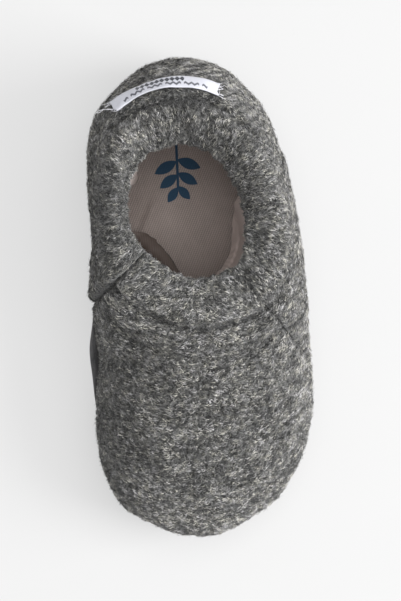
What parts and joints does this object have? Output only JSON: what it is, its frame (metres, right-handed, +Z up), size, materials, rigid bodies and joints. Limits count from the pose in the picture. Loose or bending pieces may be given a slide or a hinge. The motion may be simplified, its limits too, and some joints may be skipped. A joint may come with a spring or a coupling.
{
  "type": "wool slipper",
  "caption": "Soft slip-on slipper for a small child's left foot, boiled wool upper with a gathered collar on a thin suede sole.",
  "frame": {"origin": "middle of the bounding box on the ground, on the sole's rest plane under the middle of the shoe", "axes": "+Z up from the sole, +Y along the shoe towards the heel, the toe points to -Y, +X towards the outer side of the left foot"},
  "size_m": [0.0649, 0.1399, 0.0474],
  "materials": {
    "wool": "matt melange boiled wool",
    "suede": "dark grey suede",
    "twill": "fine cotton twill",
    "tape": "woven satin tape"
  },
  "bodies": {
    "root": {"outsole": "suede", "insole": "twill", "upper": "wool", "heel_label": "tape"}
  },
  "joints": []
}
